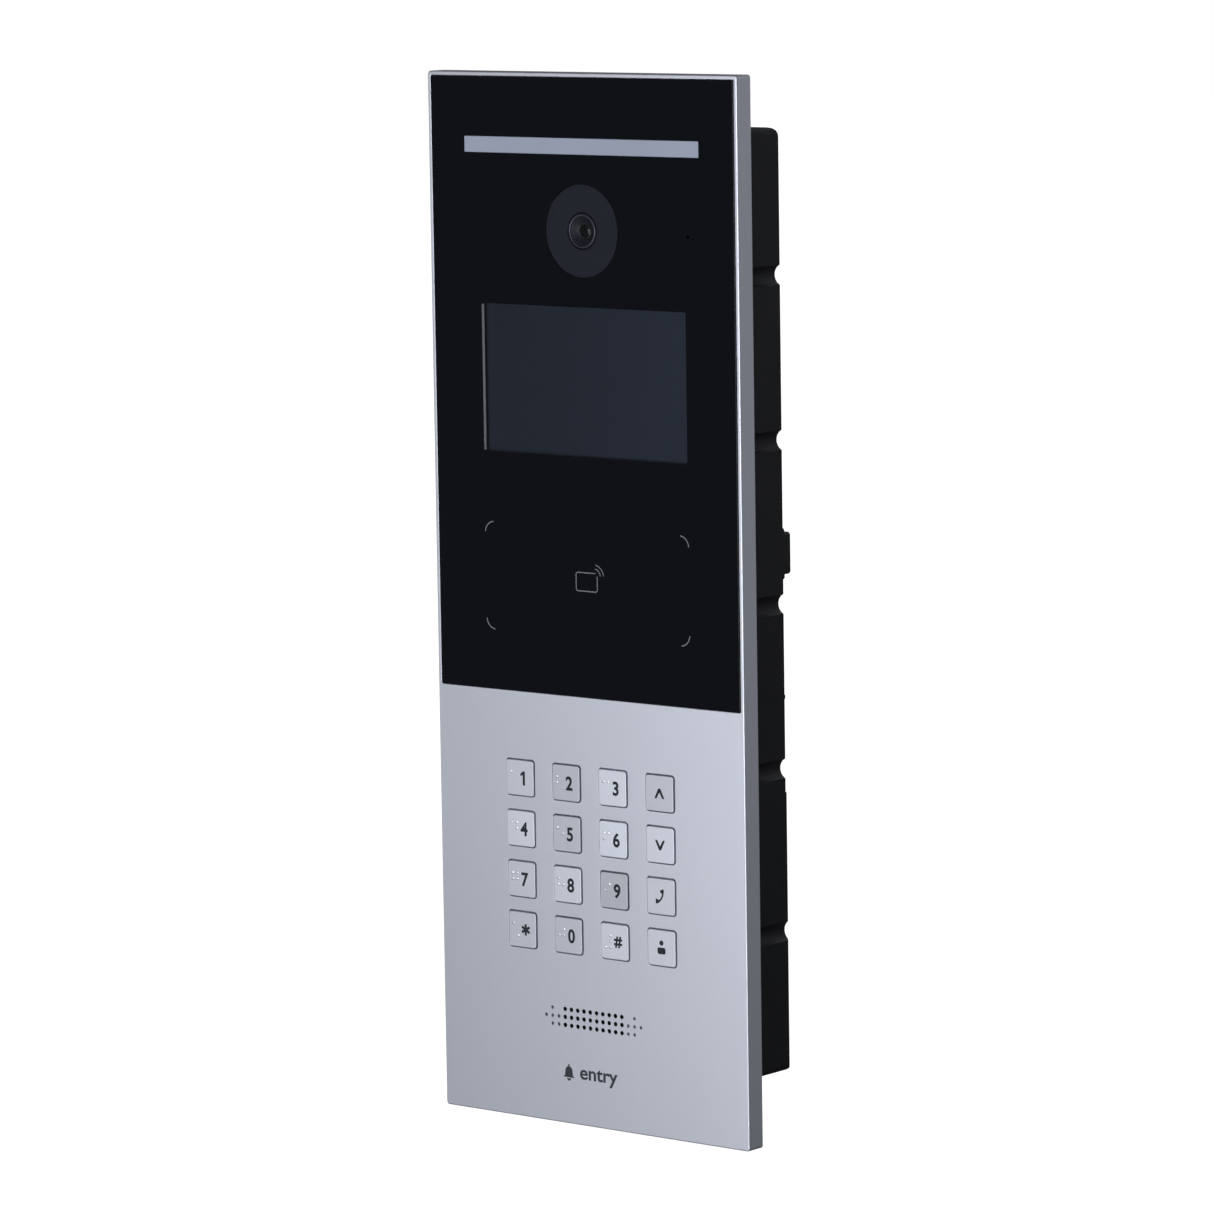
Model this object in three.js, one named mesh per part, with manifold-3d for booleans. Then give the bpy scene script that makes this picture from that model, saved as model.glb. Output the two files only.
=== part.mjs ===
// Door intercom panel: a flush-mounted video door station.
// Millimetres. X to the right as a visitor sees it, Z up, Y into the wall.
// The wall's surface is the plane Y = 0, the panel stands in front of it (Y < 0) and the rear housing goes into the wall (Y > 0).
// The origin is on the panel's vertical centreline, at half its height.
import * as THREE from "three";
import { mergeVertices } from "three/addons/utils/BufferGeometryUtils.js";
import Module from "manifold-3d";

const wasm = await Module();
wasm.setup();

// ---- driving dimensions ----
const PANEL_W = 148,
  PANEL_H = 399.4,
  PANEL_T = 8.5, // how far the panel stands off the wall
  PANEL_CORNER = 1.2;
const RIM = 1.5, // bare metal round the glass
  GLASS_BOTTOM = -34.9,
  GLASS_T = 1.1,
  GLASS_PROUD = 0.3,
  GLASS_POCKET = 1.5, // depth of the pocket below the panel's front
  GLASS_GAP = 0.15;
const WALL_FRONT = 2.5; // thickness of the metal behind which the keypad sits
const KEY_W = 13.2,
  KEY_H = 13.6,
  KEY_GAP = 0.45,
  KEY_PITCH_X = 22.56,
  KEY_PITCH_Z = 19.56,
  KEY_TOP_ROW_Z = -68.05,
  KEY_CORNER = 1.1,
  KEY_PROUD = 0.4,
  KEY_DROP = 0.1; // the keys hang this much below the middle of their openings
const DOT_R = 0.62, // raised Braille dots on the number keys
  DOT_PROUD = 0.3,
  DOT_X = -4.35, // left column of the cell, from the key's centre
  DOT_Z = 2.3, // upper row
  DOT_PITCH_X = 2.35,
  DOT_PITCH_Z = 2.3;
const SPEAKER_Z = -158.5,
  HOLE_PITCH_X = 3.07,
  HOLE_PITCH_Z = 3.1,
  HOLE_D = 1.7;
const SCREEN_Z = 84.35,
  SCREEN_W = 98.3,
  SCREEN_H = 56.25;
const CAMERA_Z = 140.9,
  CAMERA_WINDOW_R = 17.6;
const BAR_W = 112.3,
  BAR_H = 6.2,
  BAR_Z = 172.4;
const MIC_X = 50.8,
  MIC_Z = 140.2;
const BOX_W = 128,
  BOX_TOP = 179.1,
  BOX_BOTTOM = -176.6,
  BOX_D = 29.3,
  BOX_STEP_Z = -70.4,
  BOX_STEP = 1.5, // the lower part is this much deeper
  BOX_WALL = 2.2;
const GROOVE_Z = [124.4, 62.8, 1.2, -61.0, -122.9],
  GROOVE_DEPTH = 2.4,
  GROOVE_CHORD = 7.5;
const TAMPER_X = 56.5,
  TAMPER_Z = 19.9,
  TAMPER_W = 14,
  TAMPER_H = 15.8,
  TAMPER_OUT = 5.2;

const FRONT = -PANEL_T;
const group = new THREE.Group();

// ---- materials ----
const mat = (color, roughness, metalness) =>
  new THREE.MeshStandardMaterial({ color, roughness, metalness });
const ALU = mat(0xb9bdc6, 0.38, 1.0);
const KEY_METAL = mat(0xc4c7cf, 0.34, 1.0);
const BLACK_GLASS = mat(0x14161a, 0.06, 0.0);
const DIFFUSER = mat(0x9da2b2, 0.5, 0.0);
const BLACK_PLASTIC = mat(0x141518, 0.55, 0.0);
const DARK_PLASTIC = mat(0x24262b, 0.6, 0.0);
const RUBBER = mat(0x1b1b1d, 0.9, 0.0);
const MAT_RUBBER = mat(0x6d7178, 0.8, 0.0);
const FOAM = mat(0x222224, 1.0, 0.0);
const BOARD = mat(0x1c4a33, 0.5, 0.0);
const STEEL = mat(0xa8abaf, 0.35, 1.0);
const LCD = mat(0x2a2e36, 0.25, 0.0);
const LENS = mat(0x16181f, 0.05, 0.0);
const TERMINAL = mat(0x2c6b46, 0.5, 0.0);
const CONE = mat(0x2a2a2a, 0.8, 0.0);

// ---- solids ----
function toSolid(geometry) {
  const g = geometry.clone();
  g.deleteAttribute("normal");
  g.deleteAttribute("uv");
  const merged = mergeVertices(g, 1e-4);
  return new wasm.Manifold(
    new wasm.Mesh({
      numProp: 3,
      vertProperties: new Float32Array(merged.attributes.position.array),
      triVerts: new Uint32Array(merged.index.array),
    }),
  );
}
function toGeometry(solid) {
  const m = solid.getMesh();
  const v = new Float32Array(m.numVert * 3);
  for (let i = 0; i < m.numVert; i++)
    v.set(m.vertProperties.subarray(i * m.numProp, i * m.numProp + 3), i * 3);
  const g = new THREE.BufferGeometry();
  g.setAttribute("position", new THREE.BufferAttribute(v, 3));
  g.setIndex(new THREE.BufferAttribute(new Uint32Array(m.triVerts), 1));
  g.computeVertexNormals();
  return g;
}
const join = (...s) => s.reduce((a, b) => a.add(b));
const cut = (a, ...s) => s.reduce((x, b) => x.subtract(b), a);

// A block between two corners.
const block = (x0, x1, y0, y1, z0, z1) =>
  toSolid(
    new THREE.BoxGeometry(x1 - x0, y1 - y0, z1 - z0).translate(
      (x0 + x1) / 2,
      (y0 + y1) / 2,
      (z0 + z1) / 2,
    ),
  );

// Points of a rectangle with rounded corners, steps of arc per corner.
function roundedPoints(w, h, r, steps, cx = 0, cy = 0) {
  const pts = [];
  const corners = [
    [w / 2 - r, h / 2 - r, 0],
    [-w / 2 + r, h / 2 - r, 90],
    [-w / 2 + r, -h / 2 + r, 180],
    [w / 2 - r, -h / 2 + r, 270],
  ];
  for (const [x, y, start] of corners)
    for (let i = 0; i <= steps; i++) {
      const a = ((start + (90 * i) / steps) * Math.PI) / 180;
      pts.push(
        new THREE.Vector2(cx + x + r * Math.cos(a), cy + y + r * Math.sin(a)),
      );
    }
  return pts;
}
function circlePoints(r, n, cx = 0, cy = 0, turn = 0) {
  const pts = [];
  for (let i = 0; i < n; i++) {
    const a = ((i + turn) / n) * 2 * Math.PI;
    pts.push(new THREE.Vector2(cx + r * Math.cos(a), cy + r * Math.sin(a)));
  }
  return pts;
}
// A plate whose outline lies in the XZ plane, from y0 to y1.
function plate(points, y0, y1, holes = []) {
  const s = new THREE.Shape(points);
  for (const h of holes) s.holes.push(new THREE.Path(h));
  const g = new THREE.ExtrudeGeometry(s, {
    depth: y1 - y0,
    bevelEnabled: false,
    steps: 1,
  });
  g.rotateX(Math.PI / 2); // (x, y, z) -> (x, -z, y)
  g.translate(0, y1, 0);
  return toSolid(g);
}
// A turned piece about an axis along Y through (cx, cz); the profile is [radius, y] pairs.
function turned(profile, n, cx = 0, cz = 0) {
  const g = new THREE.LatheGeometry(
    profile.map(([r, y]) => new THREE.Vector2(r, y)),
    n,
  );
  g.translate(cx, 0, cz);
  return toSolid(g);
}
const rod = (r, y0, y1, n, cx, cz) =>
  plate(circlePoints(r, n, cx, cz, 0.5), y0, y1);

function add(name, solid, material) {
  const mesh = new THREE.Mesh(toGeometry(solid), material);
  mesh.name = name;
  group.add(mesh);
  return mesh;
}
// A piece made about its own origin and then placed.
function addAt(name, solid, material, x, y, z, parent = group) {
  const mesh = new THREE.Mesh(toGeometry(solid), material);
  mesh.name = name;
  mesh.position.set(x, y, z);
  parent.add(mesh);
  return mesh;
}

const rowZ = (r) => KEY_TOP_ROW_Z - r * KEY_PITCH_Z;
const colX = (c) => (c - 1.5) * KEY_PITCH_X;

// ---- front frame ----
const OPEN_X = 61.5; // half width of the opening in the frame's back
const OPEN_TOP = 177,
  OPEN_MID_TOP = -28,
  OPEN_MID_BOTTOM = -42,
  OPEN_BOTTOM = -173.5;
const glassTop = PANEL_H / 2 - RIM;
{
  const holes = [];
  for (let r = 0; r < 4; r++)
    for (let c = 0; c < 4; c++)
      holes.push(
        roundedPoints(
          KEY_W + 2 * KEY_GAP,
          KEY_H + 2 * KEY_GAP,
          KEY_CORNER + KEY_GAP,
          2,
          colX(c),
          rowZ(r),
        ),
      );
  for (let r = 0; r < 3; r++)
    for (let c = 0; c < 10; c++)
      holes.push(
        circlePoints(
          HOLE_D / 2,
          8,
          (c - 4.5) * HOLE_PITCH_X,
          SPEAKER_Z + (1 - r) * HOLE_PITCH_Z,
          0.5,
        ),
      );
  const body = plate(
    roundedPoints(PANEL_W, PANEL_H, PANEL_CORNER, 3),
    FRONT,
    0,
    holes,
  );
  const gw = PANEL_W - 2 * RIM;
  const pocket = block(
    -gw / 2,
    gw / 2,
    FRONT - 1,
    FRONT + GLASS_POCKET,
    GLASS_BOTTOM,
    glassTop,
  );
  const upper = plate(
    roundedPoints(
      2 * OPEN_X,
      OPEN_TOP - OPEN_MID_TOP,
      3,
      2,
      0,
      (OPEN_TOP + OPEN_MID_TOP) / 2,
    ),
    FRONT,
    1,
  );
  const lower = plate(
    roundedPoints(
      2 * OPEN_X,
      OPEN_MID_BOTTOM - OPEN_BOTTOM,
      3,
      2,
      0,
      (OPEN_MID_BOTTOM + OPEN_BOTTOM) / 2,
    ),
    FRONT + WALL_FRONT,
    1,
  );
  // groove for the wall gasket
  const gasketOuter = plate(
    roundedPoints(142.6, 393.6, 3, 2),
    -1.3,
    1,
    [roundedPoints(135.8, 386.8, 2, 2)],
  );
  // seats of the two panel screws in the lower edge
  const seats = [-52, 52].map((x) => {
    const s = new THREE.CylinderGeometry(2.6, 2.6, 3.2, 14);
    s.rotateX(Math.PI / 2);
    s.translate(x, -4.4, -PANEL_H / 2 + 0.6);
    return toSolid(s);
  });
  const shafts = [-52, 52].map((x) => {
    const s = new THREE.CylinderGeometry(1.5, 1.5, 10.4, 12);
    s.rotateX(Math.PI / 2);
    s.translate(x, -4.4, -PANEL_H / 2 + 6.2);
    return toSolid(s);
  });
  add(
    "front_frame",
    cut(body, pocket, upper, lower, gasketOuter, ...seats, ...shafts),
    ALU,
  );
}
// ---- cover glass and its adhesive ring ----
{
  const gw = PANEL_W - 2 * RIM - 2 * GLASS_GAP;
  const gh = glassTop - GLASS_BOTTOM - 2 * GLASS_GAP;
  const gz = (glassTop + GLASS_BOTTOM) / 2;
  add(
    "cover_glass",
    plate(
      roundedPoints(gw, gh, 0.6, 2, 0, gz),
      FRONT - GLASS_PROUD,
      FRONT - GLASS_PROUD + GLASS_T,
      [circlePoints(0.75, 8, MIC_X, MIC_Z, 0.5)],
    ),
    BLACK_GLASS,
  );
  add(
    "glass_adhesive",
    plate(
      roundedPoints(gw - 1, gh - 1, 0.6, 1, 0, gz),
      FRONT + 0.95,
      FRONT + 1.35,
      [
        roundedPoints(
          2 * OPEN_X + 2,
          gh - 14,
          2,
          1,
          0,
          gz - 6.5,
        ),
      ],
    ),
    FOAM,
  );
}
add(
  "wall_gasket",
  plate(roundedPoints(142, 393, 2.7, 2), -1.0, 0, [
    roundedPoints(136.4, 387.4, 1.7, 2),
  ]),
  FOAM,
);

// ---- light bar ----
add(
  "light_diffuser",
  plate(roundedPoints(BAR_W, BAR_H, 0.5, 2, 0, BAR_Z), -7.3, -5.2),
  DIFFUSER,
);
add(
  "light_board",
  block(-56, 56, -4.8, -3.4, BAR_Z - 3.6, BAR_Z + 3.6),
  BOARD,
);

// ---- camera ----
addAt(
  "camera_shroud",
  turned(
    [
      [7.2, 0],
      [17.3, 0],
      [17.3, 5.6],
      [8.3, 5.6],
      [8.3, 3.2],
      [7.2, 0],
    ],
    36,
  ),
  BLACK_PLASTIC,
  0,
  -7.2,
  CAMERA_Z,
);
addAt(
  "camera_lens",
  turned(
    [
      [5.8, 0],
      [6.6, 0],
      [6.6, 2.4],
      [7.8, 2.8],
      [7.8, 8],
      [9, 8],
      [9, 13.5],
      [0, 13.5],
      [0, 4.0],
      [2.9, 4.0],
      [2.9, 2.2],
      [5.8, 0],
    ],
    28,
  ),
  DARK_PLASTIC,
  0,
  -6.9,
  CAMERA_Z,
);
addAt(
  "lens_element",
  turned(
    [
      [0, 0],
      [1.3, 0.2],
      [2.2, 0.6],
      [2.7, 1.1],
      [2.7, 1.8],
      [0, 1.8],
      [0, 0],
    ],
    24,
  ),
  LENS,
  0,
  -4.85,
  CAMERA_Z,
);
add(
  "camera_board",
  block(-17, 17, 7.0, 8.4, CAMERA_Z - 17, CAMERA_Z + 17),
  BOARD,
);

// ---- screen ----
{
  const w = 105.4,
    h = 66.6,
    lip = 0.35;
  const y0 = -7.0,
    y1 = -3.8;
  add(
    "lcd_bezel",
    cut(
      plate(roundedPoints(w, h, 0.8, 1, 0, SCREEN_Z), y0, y1),
      block(
        -SCREEN_W / 2 - 0.1,
        SCREEN_W / 2 + 0.1,
        y0 - 1,
        y1 + 1,
        SCREEN_Z - SCREEN_H / 2 - 0.1,
        SCREEN_Z + SCREEN_H / 2 + 0.1,
      ),
      block(
        -w / 2 + 0.6,
        w / 2 - 0.6,
        y0 + lip,
        y1 + 1,
        SCREEN_Z - h / 2 + 0.6,
        SCREEN_Z + h / 2 - 0.6,
      ),
    ),
    STEEL,
  );
  add(
    "lcd_screen",
    block(
      -w / 2 + 0.9,
      w / 2 - 0.9,
      y0 + lip + 0.2,
      y1 - 0.1,
      SCREEN_Z - h / 2 + 0.9,
      SCREEN_Z + h / 2 - 0.9,
    ),
    LCD,
  );
}

// ---- card reader antenna ----
add("card_antenna", block(-50, 50, -6.6, -5.4, -18, 34), BOARD);

// ---- microphone ----
addAt(
  "mic_boot",
  turned(
    [
      [0.9, 0],
      [4.2, 0],
      [4.2, 5.2],
      [3.3, 5.2],
      [3.3, 1.4],
      [0.9, 1.4],
      [0.9, 0],
    ],
    18,
  ),
  RUBBER,
  MIC_X,
  -7.3,
  MIC_Z,
);
addAt(
  "microphone",
  turned(
    [
      [0, 0],
      [3.0, 0],
      [3.0, 3.0],
      [0, 3.0],
    ],
    18,
  ),
  STEEL,
  MIC_X,
  -5.6,
  MIC_Z,
);

// ---- boards behind the screen ----
add("main_board", block(-50, 50, 3.0, 4.6, -48, 118), BOARD);
{
  const fins = [];
  for (let i = 0; i < 8; i++)
    fins.push(block(-24.5 + i * 6.5, -21.5 + i * 6.5, 7.3, 12.5, 8, 58));
  add("heat_spreader", join(block(-24.5, 24.5, 4.9, 7.4, 8, 58), ...fins), ALU);
}

// ---- keys ----
{
  const cap = plate(
    roundedPoints(KEY_W, KEY_H, KEY_CORNER, 2),
    FRONT - KEY_PROUD,
    FRONT + WALL_FRONT + 0.4,
  );
  const flange = block(
    -KEY_W / 2 - 1.2,
    KEY_W / 2 + 1.2,
    FRONT + WALL_FRONT + 0.3,
    FRONT + WALL_FRONT + 1.1,
    -KEY_H / 2 - 1.2,
    KEY_H / 2 + 1.2,
  );
  const stem = rod(2.5, FRONT + WALL_FRONT + 1.0, FRONT + WALL_FRONT + 2.2, 10, 0, 0);
  const blank = join(cap, flange, stem);
  const dot = turned(
    [
      [0, -DOT_PROUD],
      [DOT_R * 0.6, -DOT_PROUD * 0.78],
      [DOT_R, 0],
      [DOT_R, 0.3],
      [0, 0.3],
    ],
    8,
  );
  // dots 1-2-3 run down the cell's left column, 4-5-6 down its right one
  const cells = {
    key_1: [1],
    key_2: [1, 2],
    key_3: [1, 4],
    key_4: [1, 4, 5],
    key_5: [1, 5],
    key_6: [1, 2, 4],
    key_7: [1, 2, 4, 5],
    key_8: [1, 2, 5],
    key_9: [2, 4],
    key_star: [1, 6],
    key_0: [2, 4, 5],
    key_hash: [3, 4, 5, 6],
  };
  const keyFor = (name) =>
    join(
      blank,
      ...(cells[name] || []).map((d) =>
        dot.translate([
          DOT_X + Math.floor((d - 1) / 3) * DOT_PITCH_X,
          FRONT - KEY_PROUD,
          DOT_Z - ((d - 1) % 3) * DOT_PITCH_Z,
        ]),
      ),
    );
  const names = [
    ["key_1", "key_2", "key_3", "key_up"],
    ["key_4", "key_5", "key_6", "key_down"],
    ["key_7", "key_8", "key_9", "key_call"],
    ["key_star", "key_0", "key_hash", "key_concierge"],
  ];
  const keypad = new THREE.Group();
  group.add(keypad);
  names.forEach((row, r) =>
    row.forEach((name, c) =>
      addAt(name, keyFor(name), KEY_METAL, colX(c), 0, rowZ(r) - KEY_DROP, keypad),
    ),
  );
}
const KEYPAD_Z = KEY_TOP_ROW_Z - 1.5 * KEY_PITCH_Z;
add(
  "keypad_mat",
  block(-46, 46, -2.4, -1.4, KEYPAD_Z - 40, KEYPAD_Z + 40),
  MAT_RUBBER,
);
add(
  "keypad_board",
  block(-46, 46, -1.1, 0.5, KEYPAD_Z - 40, KEYPAD_Z + 40),
  BOARD,
);
add(
  "keypad_plate",
  block(-50, 50, 0.8, 2.0, KEYPAD_Z - 43, KEYPAD_Z + 44),
  STEEL,
);

// ---- speaker ----
add(
  "speaker_mesh",
  block(-19, 19, -5.8, -5.4, SPEAKER_Z - 8, SPEAKER_Z + 8),
  FOAM,
);
add(
  "speaker_frame",
  cut(
    plate(roundedPoints(50, 28, 3, 2, 0, SPEAKER_Z), -5.1, 6.0),
    plate(roundedPoints(41, 22, 9, 4, 0, SPEAKER_Z), -6, 4.5),
  ),
  DARK_PLASTIC,
);
add(
  "speaker_cone",
  cut(
    plate(roundedPoints(40, 21, 8.5, 4, 0, SPEAKER_Z), -3.2, 0),
    plate(roundedPoints(28, 12, 5, 3, 0, SPEAKER_Z), -4, -1.2),
  ),
  CONE,
);

// ---- rear housing ----
const boxY1 = BOX_D,
  boxY2 = BOX_D + BOX_STEP;
const SCREWS = [
  [-55.5, 169.5],
  [55.5, 169.5],
  [-55.5, 92],
  [55.5, 92],
  [-55.5, -166.5],
  [55.5, -166.5],
];
const rearAt = (z) => (z < BOX_STEP_Z ? boxY2 : boxY1);
const SOCKET_X = -34,
  SOCKET_Z = -100,
  SOCKET_W = 16,
  SOCKET_H = 14;
const POWER_X = 0,
  POWER_Z = -100,
  POWER_W = 26,
  POWER_H = 11;
const BUS_X = 8,
  BUS_Z = -124,
  BUS_W = 52,
  BUS_H = 11;
{
  const y0 = 0.3;
  // outline seen from the side (YZ): rounded where the top meets the back, square-cut step, small round at the bottom
  const side = [];
  side.push([y0, BOX_BOTTOM], [boxY2 - 1.2, BOX_BOTTOM], [boxY2, BOX_BOTTOM + 1.2]);
  side.push([boxY2, BOX_STEP_Z - 0.6], [boxY1, BOX_STEP_Z + 0.6]);
  const rt = 3.6;
  for (let i = 0; i <= 4; i++) {
    const a = ((90 * i) / 4 / 180) * Math.PI;
    side.push([
      boxY1 - rt + rt * Math.cos(a),
      BOX_TOP - rt + rt * Math.sin(a),
    ]);
  }
  side.push([y0, BOX_TOP]);
  // extrude the YZ outline along X: shape (x=y, y=z), depth -> X
  const s = new THREE.Shape(side.map(([y, z]) => new THREE.Vector2(y, z)));
  const g = new THREE.ExtrudeGeometry(s, { depth: BOX_W, bevelEnabled: false });
  // (a, b, c) -> (c, a, b)
  g.applyMatrix4(new THREE.Matrix4().set(0, 0, 1, -BOX_W / 2, 1, 0, 0, 0, 0, 1, 0, 0, 0, 0, 0, 1));
  let outer = toSolid(g);
  // rounded corners seen from the front, and along the back's long edges
  outer = outer.intersect(
    plate(
      roundedPoints(BOX_W, BOX_TOP - BOX_BOTTOM, 2.5, 3, 0, (BOX_TOP + BOX_BOTTOM) / 2),
      -1,
      40,
    ),
  );
  const inner = block(
    -BOX_W / 2 + BOX_WALL,
    BOX_W / 2 - BOX_WALL,
    -1,
    boxY1 - BOX_WALL,
    BOX_BOTTOM + BOX_WALL,
    BOX_TOP - BOX_WALL,
  );
  let shell = outer.subtract(inner);
  // thicker wall behind each groove
  const pads = [];
  for (const z of GROOVE_Z)
    for (const sx of [-1, 1])
      pads.push(
        block(
          Math.min(sx * 58.9, sx * 62.5),
          Math.max(sx * 58.9, sx * 62.5),
          y0,
          boxY1 - 1,
          z - 7,
          z + 7,
        ),
      );
  // screw columns
  for (const [x, z] of SCREWS)
    pads.push(block(x - 4.2, x + 4.2, y0, boxY1 - 1, z - 4.2, z + 4.2));
  // small snap on the back, by its right edge
  pads.push(block(60.3, 63.5, boxY1 - 0.8, boxY1 + 1.35, -34.8, -33.3));
  shell = join(shell, ...pads);
  const R =
    ((GROOVE_CHORD * GROOVE_CHORD) / 4 + GROOVE_DEPTH * GROOVE_DEPTH) /
    (2 * GROOVE_DEPTH);
  const cuts = [];
  for (const z of GROOVE_Z)
    for (const sx of [-1, 1])
      cuts.push(rod(R, -1, 40, 20, sx * (BOX_W / 2 - GROOVE_DEPTH + R), z));
  for (const [x, z] of SCREWS) {
    const top = rearAt(z);
    cuts.push(rod(3.6, top - 2.4, 40, 12, x, z));
    cuts.push(rod(1.9, top - 19.5, 40, 10, x, z));
  }
  // windows for the connectors
  cuts.push(
    block(
      SOCKET_X - SOCKET_W / 2 - 0.4,
      SOCKET_X + SOCKET_W / 2 + 0.4,
      24,
      40,
      SOCKET_Z - SOCKET_H / 2 - 0.4,
      SOCKET_Z + SOCKET_H / 2 + 0.4,
    ),
    block(
      POWER_X - POWER_W / 2 - 0.4,
      POWER_X + POWER_W / 2 + 0.4,
      24,
      40,
      POWER_Z - POWER_H / 2 - 0.4,
      POWER_Z + POWER_H / 2 + 0.4,
    ),
    block(
      BUS_X - BUS_W / 2 - 0.4,
      BUS_X + BUS_W / 2 + 0.4,
      24,
      40,
      BUS_Z - BUS_H / 2 - 0.4,
      BUS_Z + BUS_H / 2 + 0.4,
    ),
  );
  // shallow field for a rating label, left blank
  cuts.push(block(-32, 32, boxY1 - 0.4, 40, 108, 150));
  // vertical back edges eased
  for (const sx of [-1, 1]) {
    const tri = new THREE.Shape([
      new THREE.Vector2(sx * (BOX_W / 2 - 1.2), 60),
      new THREE.Vector2(sx * (BOX_W / 2 - 1.2), boxY2 + 0.3),
      new THREE.Vector2(sx * (BOX_W / 2 + 0.3), boxY2 - 1.2),
      new THREE.Vector2(sx * (BOX_W / 2 + 0.3), 60),
    ]);
    const e = new THREE.ExtrudeGeometry(tri, { depth: 400, bevelEnabled: false });
    e.translate(0, 0, -200);
    cuts.push(toSolid(e));
  }
  add("rear_housing", cut(shell, ...cuts), BLACK_PLASTIC);
}

// ---- connectors ----
{
  const y = boxY2 - 0.6;
  // network socket: a metal shell open at the back, with a contact block inside
  addAt(
    "network_socket",
    cut(
      block(-SOCKET_W / 2, SOCKET_W / 2, y - 17, y, -SOCKET_H / 2, SOCKET_H / 2),
      block(-5.95, 5.95, y - 13, y + 1, -5.0, 3.2),
      block(-3.1, 3.1, y - 13, y + 1, 3.0, 5.0),
    ),
    STEEL,
    SOCKET_X,
    0,
    SOCKET_Z,
  );
  const terminal = (name, x, z, w, h, ways) => {
    const pitch = w / ways;
    const cuts = [];
    for (let i = 0; i < ways; i++) {
      const cx = -w / 2 + pitch * (i + 0.5);
      cuts.push(
        block(cx - pitch * 0.33, cx + pitch * 0.33, y - 7, y + 1, -h / 2 + 1.2, -h / 2 + 4.6),
      );
      cuts.push(rod(1.5, y - 2.2, y + 1, 10, cx, h / 2 - 2.9));
    }
    addAt(
      name,
      cut(block(-w / 2, w / 2, y - 12, y, -h / 2, h / 2), ...cuts),
      TERMINAL,
      x,
      0,
      z,
    );
  };
  terminal("terminal_power", POWER_X, POWER_Z, POWER_W, POWER_H, 5);
  terminal("terminal_bus", BUS_X, BUS_Z, BUS_W, BUS_H, 10);
  add(
    "connector_board",
    block(-52, 52, 10.5, 12.1, -136, -84),
    BOARD,
  );
}

// ---- tamper switch ----
{
  const y0 = boxY1 + 0.3;
  const base = plate(
    roundedPoints(TAMPER_W, TAMPER_H + 3.6, 0.6, 1, TAMPER_X, TAMPER_Z),
    y0,
    y0 + 1.3,
  );
  const body = plate(
    roundedPoints(TAMPER_W, TAMPER_H, 0.8, 1, TAMPER_X, TAMPER_Z),
    y0 + 1.2,
    boxY1 + TAMPER_OUT,
  );
  const bore = rod(2.4, y0 + 0.8, 60, 14, TAMPER_X - 2, TAMPER_Z);
  add("tamper_housing", cut(join(base, body), bore), BLACK_PLASTIC);
  addAt(
    "tamper_plunger",
    turned(
      [
        [0, 0],
        [2.0, 0],
        [2.0, 3.7],
        [1.5, 4.3],
        [0, 4.3],
      ],
      14,
    ),
    DARK_PLASTIC,
    TAMPER_X - 2,
    boxY1 + TAMPER_OUT - 1.3, // its full 2 mm travel ends short of the bore's floor
    TAMPER_Z,
  );
}

// ---- screws ----
SCREWS.forEach(([x, z], i) => {
  const top = rearAt(z);
  const head = cut(
    rod(3.1, top - 2.1, top - 0.4, 12, 0, 0),
    block(-2.2, 2.2, top - 1.4, top + 1, -0.4, 0.4),
    block(-0.4, 0.4, top - 1.4, top + 1, -2.2, 2.2),
  );
  addAt(
    "housing_screw_" + (i + 1),
    join(head, rod(1.5, top - 18, top - 2.0, 10, 0, 0)),
    STEEL,
    x,
    0,
    z,
  );
});
[
  ["panel_screw_left", -52],
  ["panel_screw_right", 52],
].forEach(([name, x]) => {
  const h = new THREE.CylinderGeometry(2.2, 2.2, 1.6, 14);
  h.rotateX(Math.PI / 2);
  h.translate(0, 0, 1.1);
  const s = new THREE.CylinderGeometry(1.2, 1.2, 9, 12);
  s.rotateX(Math.PI / 2);
  s.translate(0, 0, 6.3);
  const hex = new THREE.CylinderGeometry(1.15, 1.15, 2, 6);
  hex.rotateX(Math.PI / 2);
  addAt(
    name,
    cut(join(toSolid(h), toSolid(s)), toSolid(hex)),
    STEEL,
    x,
    -4.4,
    -PANEL_H / 2,
  );
});

// ---- hanging hooks on the housing's top ----
[
  ["top_hook_left", -38],
  ["top_hook_right", 38],
].forEach(([name, x]) => {
  addAt(
    name,
    join(
      block(-9, 9, 8, 24, 0, 1.5),
      block(-9, 9, 8, 9.5, 1.4, 6),
      block(-9, 9, 4.5, 9.5, 4.6, 6.1),
    ),
    STEEL,
    x,
    0,
    BOX_TOP + 0.3,
  );
});

export default group;
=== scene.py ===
import math
import bpy
import bmesh
from mathutils import Vector, Matrix
from mathutils.geometry import tessellate_polygon


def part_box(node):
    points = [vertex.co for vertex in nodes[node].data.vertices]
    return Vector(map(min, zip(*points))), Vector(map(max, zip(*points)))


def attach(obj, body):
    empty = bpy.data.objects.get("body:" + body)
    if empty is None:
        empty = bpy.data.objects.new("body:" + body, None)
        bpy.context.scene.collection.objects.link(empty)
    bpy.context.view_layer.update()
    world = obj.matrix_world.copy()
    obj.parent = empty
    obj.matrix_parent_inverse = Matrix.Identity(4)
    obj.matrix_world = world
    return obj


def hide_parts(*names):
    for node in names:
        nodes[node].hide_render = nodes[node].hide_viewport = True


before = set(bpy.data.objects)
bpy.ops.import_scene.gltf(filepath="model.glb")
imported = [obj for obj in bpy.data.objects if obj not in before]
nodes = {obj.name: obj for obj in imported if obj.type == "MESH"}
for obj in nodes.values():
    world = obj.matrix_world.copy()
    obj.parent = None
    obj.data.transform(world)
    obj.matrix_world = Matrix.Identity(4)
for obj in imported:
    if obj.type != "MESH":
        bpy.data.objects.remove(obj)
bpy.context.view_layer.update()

# Door intercom panel. X right, Y into the wall, Z up. Lengths below are in millimetres and turned into metres at the mesh.
MM = 0.001
scene = bpy.context.scene
ROOT = "station"


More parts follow.
